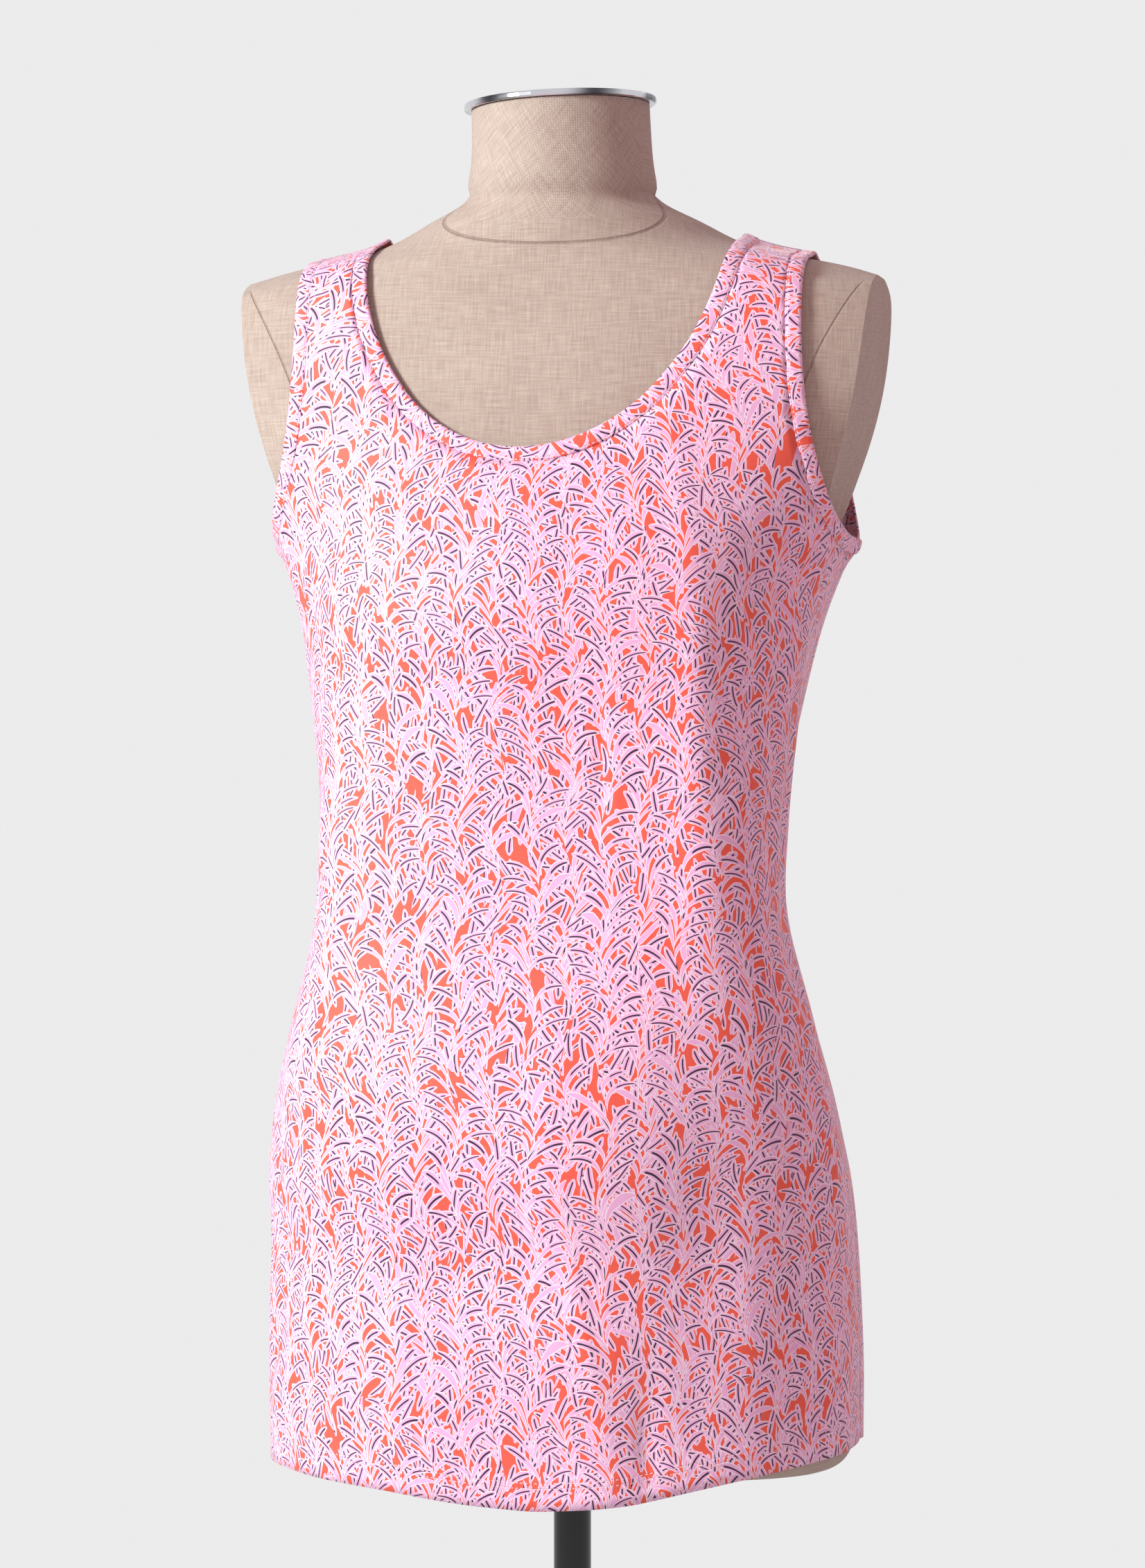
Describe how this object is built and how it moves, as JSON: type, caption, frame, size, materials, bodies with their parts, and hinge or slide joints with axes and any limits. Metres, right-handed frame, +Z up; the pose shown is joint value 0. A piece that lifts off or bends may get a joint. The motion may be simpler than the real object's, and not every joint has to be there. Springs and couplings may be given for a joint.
{
  "type": "sleeveless maternity top on limbless dress form",
  "caption": "Long sleeveless maternity top with a scoop neck and bound edges, worn by a cloth-covered limbless dress form with a metal neck cap, a pole and a round base.",
  "frame": {"origin": "middle of the stand's underside, on the pole's axis", "axes": "+Z up; -Y to the wearer's front; +X to the wearer's left"},
  "size_m": [0.37, 0.33, 1.0782],
  "materials": {
    "printed_jersey": "matte knit, printed with leaves",
    "printed_binding": "matte knit, folded strip, printed",
    "linen_cover": "coarse woven linen",
    "polished_steel": "polished",
    "black_paint": "satin black"
  },
  "bodies": {
    "root": {"front_panel": "printed_jersey", "back_panel": "printed_jersey", "neck_binding": "printed_binding", "armhole_binding_right": "printed_binding", "armhole_binding_left": "printed_binding", "form_body": "linen_cover", "neck_cap": "polished_steel", "pole_socket": "black_paint", "pole": "black_paint", "stand_base": "black_paint"}
  },
  "joints": []
}
